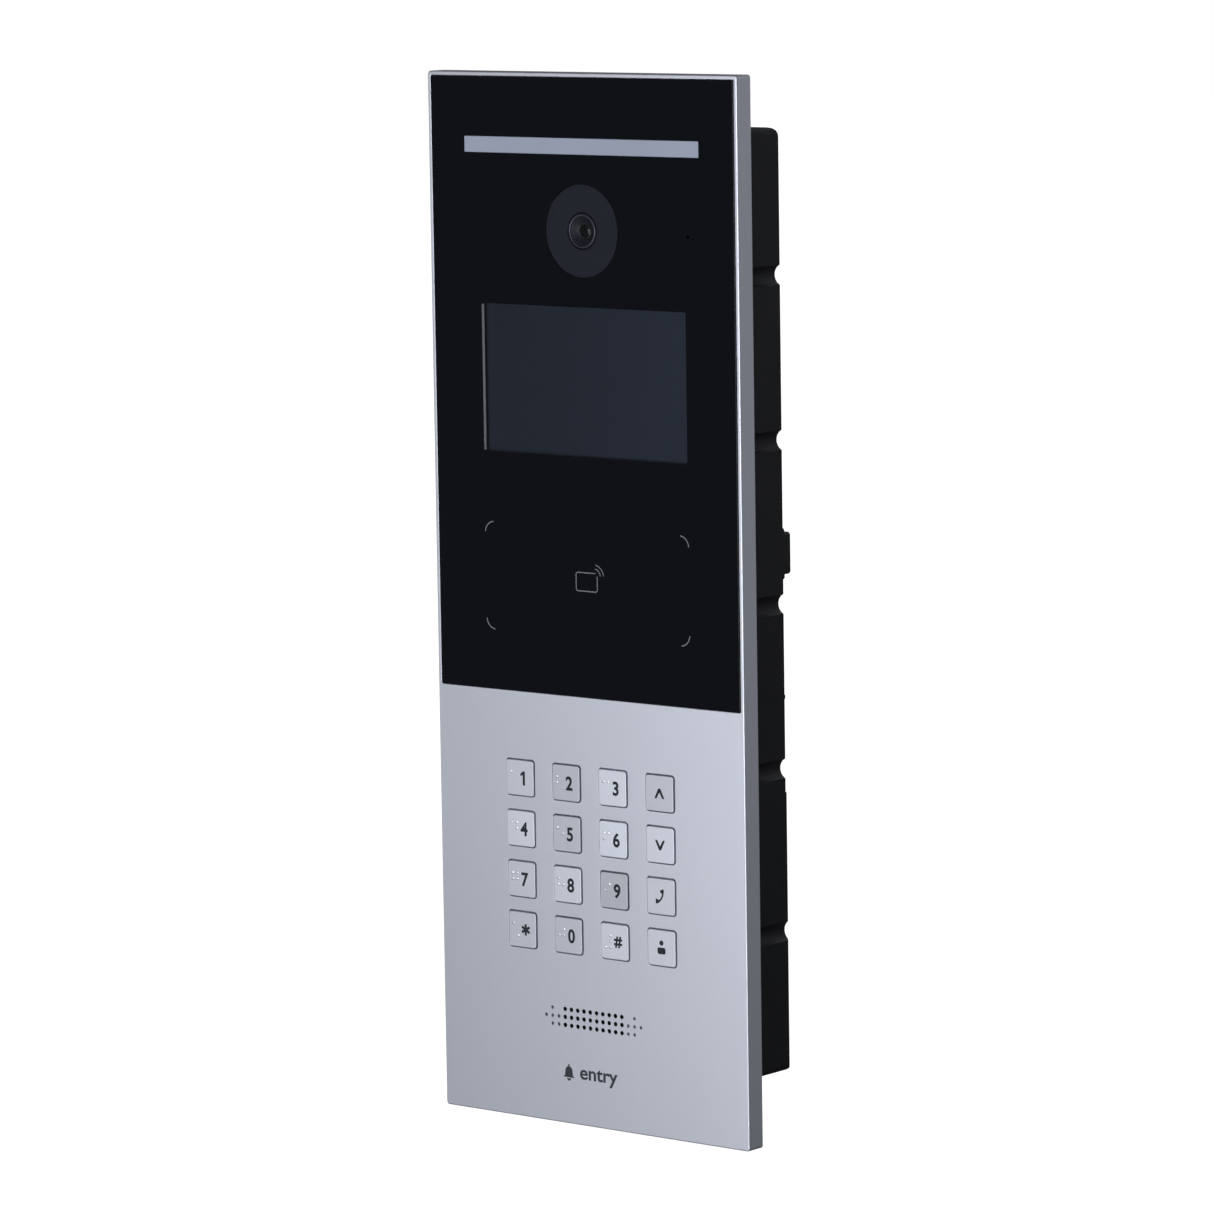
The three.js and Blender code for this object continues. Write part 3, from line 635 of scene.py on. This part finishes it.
def build_camera():
    y = GLASS_Y
    b = Build()
    # flat annular front with a shallow step, then a cone down to the lens
    prof = [(17.3, y + 0.85), (8.7, y + 0.85), (8.5, y + 0.92), (7.2, y + 0.92), (7.0, y + 1.1), (7.0, y + 3.2), (8.3, SH_LO[1] + 3.2),
            (8.3, SH_HI[1]), (17.3, SH_HI[1])]
    lathe(b, prof, 96, 0, CAM_Z)
    ob = b.mesh("lens_shroud", [SHROUD], smooth=28)
    orient(ob.data)
    hide(ob, "camera_shroud")
    # thin ring round the lens
    b = Build()
    for R, r, dy in ((6.05, 0.42, 1.02),):
        prof = []
        for i in range(10):
            a = 2 * math.pi * i / 10
            prof.append((R + r * math.cos(a), y + dy + r * 0.8 * math.sin(a)))
        lathe(b, prof, 96, 0, CAM_Z)
    ob = b.mesh("lens_trim_ring", [RING], smooth=60)
    orient(ob.data)
    # barrel: a stepped black cone down to the small front lens
    L_LO, L_HI = lo_hi("camera_lens")
    b = Build()
    prof = [(5.9, y + 1.15), (5.1, y + 1.45), (4.95, y + 1.5), (4.1, y + 2.0), (3.95, y + 2.05), (3.1, y + 2.6), (2.75, y + 2.65), (2.75, y + 4.0), (0, y + 4.0),
            (0, L_HI[1]), (9, L_HI[1]), (9, L_LO[1] + 8.2), (8.8, L_LO[1] + 8), (7.8, L_LO[1] + 8), (7.8, L_LO[1] + 2.8), (6.6, L_LO[1] + 2.4), (6.6, y + 1.6), (6.3, y + 1.3)]
    lathe(b, prof, 64, 0, CAM_Z)
    ob = b.mesh("lens_barrel", [LENS_IN], smooth=30)
    orient(ob.data)
    hide(ob, "camera_lens")
    # retaining ring and front element
    b = Build()
    prof = []
    for i in range(10):
        a = 2 * math.pi * i / 10
        prof.append((2.66 + 0.22 * math.cos(a), y + 2.55 + 0.18 * math.sin(a)))
    lathe(b, prof, 48, 0, CAM_Z)
    ob = b.mesh("lens_retainer", [RETAIN], smooth=60)
    orient(ob.data)
    b = Build()
    prof = [(0, y + 2.75)]
    for i in range(1, 9):
        t = i / 8
        prof.append((2.6 * t, y + 2.75 + 0.5 * t * t))
    prof += [(2.6, y + 3.8), (0, y + 3.8)]
    lathe(b, prof, 64, 0, CAM_Z, close=False)
    ob = b.mesh("front_lens", [LENS], smooth=40)
    orient(ob.data)
    hide(ob, "lens_element")


build_camera()


# ------------------------------------------------------------------ printed marks on the glass
def arc_strip(cx, cz, r, a0, a1, w, n=12):
    """Outline of a stroke of width w along an arc, as one closed loop."""
    o = [(cx + (r + w / 2) * math.cos(t), cz + (r + w / 2) * math.sin(t)) for t in [math.radians(a0 + (a1 - a0) * i / n) for i in range(n + 1)]]
    i_ = [(cx + (r - w / 2) * math.cos(t), cz + (r - w / 2) * math.sin(t)) for t in [math.radians(a0 + (a1 - a0) * i / n) for i in range(n + 1)]]
    return o + i_[::-1]


def flat_print(b, pts, y0, y1, holes=()):
    p, q = b.loop(pts, y0), b.loop(pts, y1)
    b.bridge(q, p)
    hp, hq = [], []
    for h in holes:
        s, t = b.loop(h, y0), b.loop(h, y1)
        b.bridge(s, t)
        hp.append(s)
        hq.append(t)
    b.cap(p, hp, (0, -1, 0))
    b.cap(q, hq, (0, 1, 0))


def build_print():
    y0, y1 = GLASS_Y - 0.015, GLASS_Y + 0.01
    b = Build()
    w = 0.42
    x0, x1, z0, z1 = -48.95, 49.25, -11.75, 29.5
    r = 4.4
    flat_print(b, arc_strip(x0 + r, z1 - r, r, 95, 175, w), y0, y1)
    flat_print(b, arc_strip(x1 - r, z1 - r, r, 5, 85, w), y0, y1)
    flat_print(b, arc_strip(x0 + r, z0 + r, r, 185, 265, w), y0, y1)
    flat_print(b, arc_strip(x1 - r, z0 + r, r, 275, 355, w), y0, y1)
    # card and waves
    flat_print(b, rr(10.6, 7.4, 1.2, 6, 0.3, 9.2), y0, y1, [rr(10.6 - 0.8, 7.4 - 0.8, 0.8, 6, 0.3, 9.2)])
    for rad in (1.5, 3.0, 4.5):
        flat_print(b, arc_strip(4.0, 11.4, rad, 8, 82, 0.38, 10), y0, y1)
    ob = b.mesh("card_reader_marks", [PRINT], smooth=30, weighted=False)
    orient(ob.data)


build_print()


# ------------------------------------------------------------------ keys
def text_mesh(name, body_text, size, cx, cz, y, mat, squeeze=1.0, depth=0.03, bold=0.0):
    cu = bpy.data.curves.new(name, "FONT")
    cu.body = body_text
    cu.size = size * MM
    cu.align_x = "CENTER"
    cu.align_y = "CENTER"
    cu.extrude = depth * MM / 2
    cu.offset = bold * MM
    cu.resolution_u = 6
    tmp = bpy.data.objects.new(name + "_tmp", cu)
    scene.collection.objects.link(tmp)
    bpy.context.view_layer.update()
    dg = bpy.context.evaluated_depsgraph_get()
    me = bpy.data.meshes.new_from_object(tmp.evaluated_get(dg), depsgraph=dg)
    bpy.data.objects.remove(tmp)
    bpy.data.curves.remove(cu)
    me.name = name
    xs = [v.co.x for v in me.vertices]
    ys = [v.co.y for v in me.vertices]
    mx, my = (min(xs) + max(xs)) / 2, (min(ys) + max(ys)) / 2
    for v in me.vertices:
        x, yy, z = v.co
        v.co = (cx * MM + (x - mx) * squeeze, y * MM - z, cz * MM + (yy - my))
    me.materials.clear()
    me.materials.append(mat)
    return me


BRAILLE = {"key_1": (1,), "key_2": (1, 2), "key_3": (1, 4), "key_4": (1, 4, 5), "key_5": (1, 5), "key_6": (1, 2, 4),
           "key_7": (1, 2, 4, 5), "key_8": (1, 2, 5), "key_9": (2, 4), "key_0": (2, 4, 5), "key_star": (1, 6), "key_hash": (3, 4, 5, 6)}
LABEL = {"key_1": "1", "key_2": "2", "key_3": "3", "key_4": "4", "key_5": "5", "key_6": "6", "key_7": "7", "key_8": "8", "key_9": "9",
         "key_0": "0", "key_star": "*", "key_hash": "#"}
TILT = {"key_1": (0.15, 0.2), "key_2": (-0.3, -0.35), "key_3": (0.25, 0.2), "key_up": (-0.1, -0.4), "key_4": (0.2, 0.25), "key_5": (0, 0.1),
        "key_6": (0.2, 0.2), "key_down": (0.15, 0.1), "key_7": (0.05, 0.1), "key_8": (0.15, 0.2), "key_9": (-0.35, -0.3), "key_call": (0.1, 0.0),
        "key_star": (0.0, 0.05), "key_0": (0.15, 0.1), "key_hash": (0.2, 0.2), "key_concierge": (0.1, -0.05)}
# Each key's brightness is painted light and shade; it runs with the key's lean in TILT.
KEY_LIGHT_SHADE = {"key_1": 0.88, "key_2": 0.79, "key_3": 0.97, "key_up": 0.795, "key_4": 0.95, "key_5": 0.785, "key_6": 0.99, "key_down": 0.93,
        "key_7": 0.86, "key_8": 0.92, "key_9": 0.73, "key_call": 0.88, "key_star": 0.84, "key_0": 0.82, "key_hash": 0.92, "key_concierge": 0.91}


def tilt_fn(name, x, z, y):
    """The keys sit a little crooked in their openings, each its own way."""
    ax, az = (math.radians(t) for t in TILT[name])
    return Matrix.Translation((x * MM, y * MM, z * MM)) @ Matrix.Rotation(ax, 4, "X") @ Matrix.Rotation(az, 4, "Z") @ Matrix.Translation((-x * MM, -y * MM, -z * MM))


def build_key(name):
    x, z = KEYS[name]
    x -= 0.07
    lo, hi = lo_hi(name)
    y0 = FRONT - 0.40
    yf = FRONT + 2.8
    b = Build()
    o = rrf(KEY_W, KEY_H, KEY_R, 5, x, z)
    f = 0.24
    loops = []
    for a in arc_steps(4):
        loops.append(b.loop(o(-f * (1 - math.sin(a))), y0 + f * (1 - math.cos(a))))
    loops.append(b.loop(o(0), yf))
    loops.append(b.loop(rrf(15.6, 16.0, 0.4, 5, x, z)(0), yf))
    loops.append(b.loop(rrf(15.6, 16.0, 0.4, 5, x, z)(0), yf + 0.8))
    loops.append(b.loop(circ(2.5, 24, x, z, 0.0), yf + 0.8))
    loops.append(b.loop(circ(2.5, 24, x, z, 0.0), hi[1]))
    for p, q in zip(loops, loops[1:]):
        b.bridge(q, p)
    b.cap(loops[0], (), (0, -1, 0))
    b.cap(loops[-1], (), (0, 1, 0))
    ob = b.mesh(name + "_cap", [key_metal(KEY_LIGHT_SHADE[name])], body=name, smooth=32)
    orient(ob.data)
    T = tilt_fn(name, x, z, y0)
    # only the visible cap leans; the collar behind the panel stays square
    for v in ob.data.vertices:
        if v.co.y < (yf - 0.3) * MM:
            v.co = T @ v.co
    ob.data.update()
    hide(ob, name)
    # legend
    me = None
    if name in LABEL and LABEL[name] not in "1*#":
        me = text_mesh(name + "_legend", LABEL[name], 7.25, x + 1.6, z - 0.05, y0 - 0.004, LEGEND, squeeze=0.93, bold=0.215)
        me.transform(T)
        place(name + "_legend", me, name, 30, weighted=False)
    else:
        lb = Build()
        ya, yb = y0 - 0.02, y0 + 0.02

        def bar(cx, cz, w, h, deg, k=0.0):
            c, s_ = math.cos(math.radians(deg)), math.sin(math.radians(deg))
            pts = [(cx + px * c - pz * s_, cz + px * s_ + pz * c) for px, pz in rr(w, h, min(w, h) * 0.18, 2)]
            flat_print(lb, pts, ya - k, yb)

        if name == "key_1":
            cx = x + 1.6
            flat_print(lb, [(cx + 0.85, z - 2.8), (cx + 0.85, z + 2.65), (cx - 0.05, z + 2.65), (cx - 1.3, z + 1.7), (cx - 1.3, z + 0.65), (cx - 0.22, z + 1.3), (cx - 0.22, z - 2.8)], ya, yb)
        elif name == "key_star":
            for i, deg in enumerate((90, 30, -30)):
                bar(x + 1.6, z + 0.1, 4.4, 1.05, deg, 0.002 * i)
        elif name == "key_hash":
            for i, (px, pz, w, deg) in enumerate(((-0.62, 0, 4.5, 80), (0.82, 0, 4.5, 80), (0.1, 0.85, 3.9, 0), (0.1, -0.8, 3.9, 0))):
                bar(x + 1.6 + px, z + pz, w, 0.86, deg, 0.002 * i)
        elif name in ("key_up", "key_down"):
            sg = 1 if name == "key_up" else -1
            w, h, t = 2.35, 1.9, 1.25
            pts = [(-w, -h), (-0.5, h), (0.5, h), (w, -h), (w - t * 0.8, -h), (0, h - 1.45), (-w + t * 0.8, -h)]
            pts = [(x + px, z + sg * pz) for px, pz in pts]
            if sg > 0:
                pts = pts[::-1]
            flat_print(lb, pts, ya, yb)
        elif name == "key_call":
            # a handset leaning from upper right to lower left, hollow side up and left
            cx, cz, rad = x - 2.5, z + 1.35, 3.45
            outer, inner = [], []
            for i in range(21):
                t = i / 20
                a_ = math.radians(-88 + 112 * t)
                e = abs(2 * t - 1)
                end = max(0.0, (e - 0.50) / 0.50)
                swell = min(1.0, end * 2.6)
                o_, n_ = 0.36 + 0.26 * swell, 0.36 + 0.80 * swell
                outer.append((cx + (rad + o_) * math.cos(a_), cz + (rad + o_) * math.sin(a_)))
                inner.append((cx + (rad - n_) * math.cos(a_), cz + (rad - n_) * math.sin(a_)))
            flat_print(lb, outer + inner[::-1], ya, yb)
        else:
            flat_print(lb, circ(0.98, 24, x, z + 1.95), ya, yb)
            flat_print(lb, rr(3.8, 2.5, 0.7, 5, x, z - 1.05), ya, yb)
        tmp = lb.mesh(name + "_legend", [LEGEND], body=name, smooth=30, weighted=False)
        orient(tmp.data)
        tmp.data.transform(T)
    # braille
    if name in BRAILLE:
        bb = Build()
        for d in BRAILLE[name]:
            col, row = (d - 1) // 3, (d - 1) % 3
            cx, cz = x - 4.35 + 2.35 * col, z + 2.3 - 2.3 * row
            prof = []
            for i in range(6):
                t = math.radians(90 * i / 5)
                prof.append((0.62 * math.sin(t) + (0 if i else 0), y0 - 0.24 * math.cos(t)))
            prof[0] = (0, y0 - 0.24)
            prof += [(0.62, y0 + 0.05), (0, y0 + 0.05)]
            lathe(bb, prof, 16, cx, cz, close=False)
        ob = bb.mesh(name + "_braille", [DOT], body=name, smooth=50, weighted=False)
        orient(ob.data)
        ob.data.transform(T)


for k in KEYS:
    build_key(k)


# ------------------------------------------------------------------ generic mark: a bell and the word entry
def build_mark():
    """A bell and the plain word for what the station is."""
    y0, y1 = FRONT - 0.02, FRONT + 0.02
    cx, cz = -12.4, -180.0
    b = Build()
    pts = []
    for i in range(17):
        a = math.radians(180 * i / 16)
        pts.append((cx + 1.75 * math.cos(a), cz + 0.7 + 1.9 * math.sin(a)))
    pts += [(cx - 1.95, cz - 0.9), (cx - 2.75, cz - 1.75), (cx + 2.75, cz - 1.75), (cx + 1.95, cz - 0.9)]
    flat_print(b, pts, y0, y1)
    flat_print(b, arc_strip(cx, cz - 2.05, 0.62, 180, 360, 0.75, 10), y0, y1)
    flat_print(b, circ(0.42, 14, cx, cz + 3.0), y0, y1)
    ob = b.mesh("bell_mark", [MARK], smooth=30, weighted=False)
    orient(ob.data)
    me = text_mesh("entry_word", "entry", 7.6, 2.2, cz - 0.35, FRONT - 0.004, MARK, squeeze=1.12, bold=0.16)
    place("entry_word", me, ROOT, 30, weighted=False)


build_mark()

# ------------------------------------------------------------------ carried-over CAD nodes: materials and eased edges
CARRY = {
    "glass_adhesive": FOAM, "wall_gasket": FOAM, "light_board": BOARD, "camera_board": BOARD, "lcd_bezel": STEEL,
    "card_antenna": BOARD, "mic_boot": RUBBER, "microphone": STEEL, "main_board": BOARD, "heat_spreader": PLAIN_ALU,
    "keypad_mat": MAT_R, "keypad_board": BOARD, "keypad_plate": STEEL, "speaker_mesh": CLOTH, "speaker_frame": DARK,
    "speaker_cone": PAPER, "rear_housing": BLACK, "network_socket": STEEL, "terminal_power": GREEN_T,
    "terminal_bus": GREEN_T, "connector_board": BOARD, "tamper_housing": BLACK, "tamper_plunger": DARK,
    "panel_screw_left": SCREW, "panel_screw_right": SCREW, "top_hook_left": STEEL, "top_hook_right": STEEL,
}
for i in range(1, 7):
    CARRY["housing_screw_%d" % i] = SCREW
for n, m in CARRY.items():
    o = nodes[n]
    o.data.materials.clear()
    o.data.materials.append(m)
BEVELS = {"rear_housing": 0.5, "tamper_housing": 0.12, "top_hook_left": 0.25, "top_hook_right": 0.25, "network_socket": 0.2,
          "terminal_power": 0.2, "terminal_bus": 0.2, "tamper_plunger": 0.2, "heat_spreader": 0.2, "keypad_plate": 0.2,
          "speaker_frame": 0.2, "lcd_bezel": 0.06}
for n, wmm in BEVELS.items():
    o = nodes[n]
    bv = o.modifiers.new("eased", "BEVEL")
    bv.width = wmm * MM
    bv.segments = 2
    bv.limit_method = "ANGLE"
    bv.angle_limit = math.radians(40)
    bv.use_clamp_overlap = True
    bv.harden_normals = True

# ------------------------------------------------------------------ floor, world, lights
def stage_mat():
    m, nt, out = new_mat("pale_floor")
    d = N(nt, "ShaderNodeBsdfDiffuse")
    d.inputs["Color"].default_value = (0.8, 0.8, 0.8, 1)
    e = N(nt, "ShaderNodeEmission")
    e.inputs["Color"].default_value = (1, 1, 1, 1)
    e.inputs["Strength"].default_value = 1.05
    a = N(nt, "ShaderNodeAddShader")
    nt.links.new(d.outputs[0], a.inputs[0])
    nt.links.new(e.outputs[0], a.inputs[1])
    nt.links.new(a.outputs[0], out.inputs["Surface"])
    return m


bm = bmesh.new()
bmesh.ops.create_circle(bm, cap_ends=True, radius=30, segments=96)
me = bpy.data.meshes.new("floor")
bm.to_mesh(me)
bm.free()
floor = bpy.data.objects.new("floor", me)
scene.collection.objects.link(floor)
floor.location = (0, 0, F_LO[2] * MM - 0.9)
floor.data.materials.append(stage_mat())
floor.visible_glossy = False
floor.visible_diffuse = False

world = bpy.data.worlds.new("studio")
scene.world = world
world.use_nodes = True
wn = world.node_tree
wn.nodes.clear()
wo = wn.nodes.new("ShaderNodeOutputWorld")
bg = wn.nodes.new("ShaderNodeBackground")
bg2 = wn.nodes.new("ShaderNodeBackground")
lp = wn.nodes.new("ShaderNodeLightPath")
mx = wn.nodes.new("ShaderNodeMixShader")
bg.inputs["Color"].default_value = (0.90, 0.94, 1.0, 1)
bg.inputs["Strength"].default_value = 0.09
bg2.inputs["Color"].default_value = (1, 1, 1, 1)
bg2.inputs["Strength"].default_value = 1.0
wn.links.new(lp.outputs["Is Camera Ray"], mx.inputs[0])
wn.links.new(bg.outputs[0], mx.inputs[1])
wn.links.new(bg2.outputs[0], mx.inputs[2])
wn.links.new(mx.outputs[0], wo.inputs["Surface"])


def area(name, az, el, dist, size_x, size_y, power, color=(1, 1, 1), target=(0, 0, 0), spread=180):
    L = bpy.data.lights.new(name, "AREA")
    L.shape = "RECTANGLE"
    L.size, L.size_y = size_x, size_y
    L.energy = power
    L.color = color
    L.spread = math.radians(spread)
    o = bpy.data.objects.new(name, L)
    scene.collection.objects.link(o)
    a, e = math.radians(az), math.radians(el)
    d = Vector((math.sin(a) * math.cos(e), -math.cos(a) * math.cos(e), math.sin(e)))
    o.location = Vector(target) + d * dist
    o.rotation_euler = (-d).to_track_quat("-Z", "Y").to_euler()
    return o


area("front_softbox", -3, -3, 1.6, 0.95, 0.85, 14.6, (0.95, 0.965, 1.0))
area("right_strip", 50, 14, 1.6, 0.35, 1.2, 5, (0.97, 0.98, 1.0))
area("back_fill", 141, 6, 2.0, 1.2, 1.6, 1.0, (0.95, 0.97, 1.0))
area("back_softbox", 184, 12, 1.8, 1.3, 1.3, 8, (0.96, 0.975, 1.0))
area("left_strip", -72, 12, 1.6, 0.4, 1.2, 2.2, (0.97, 0.98, 1.0))
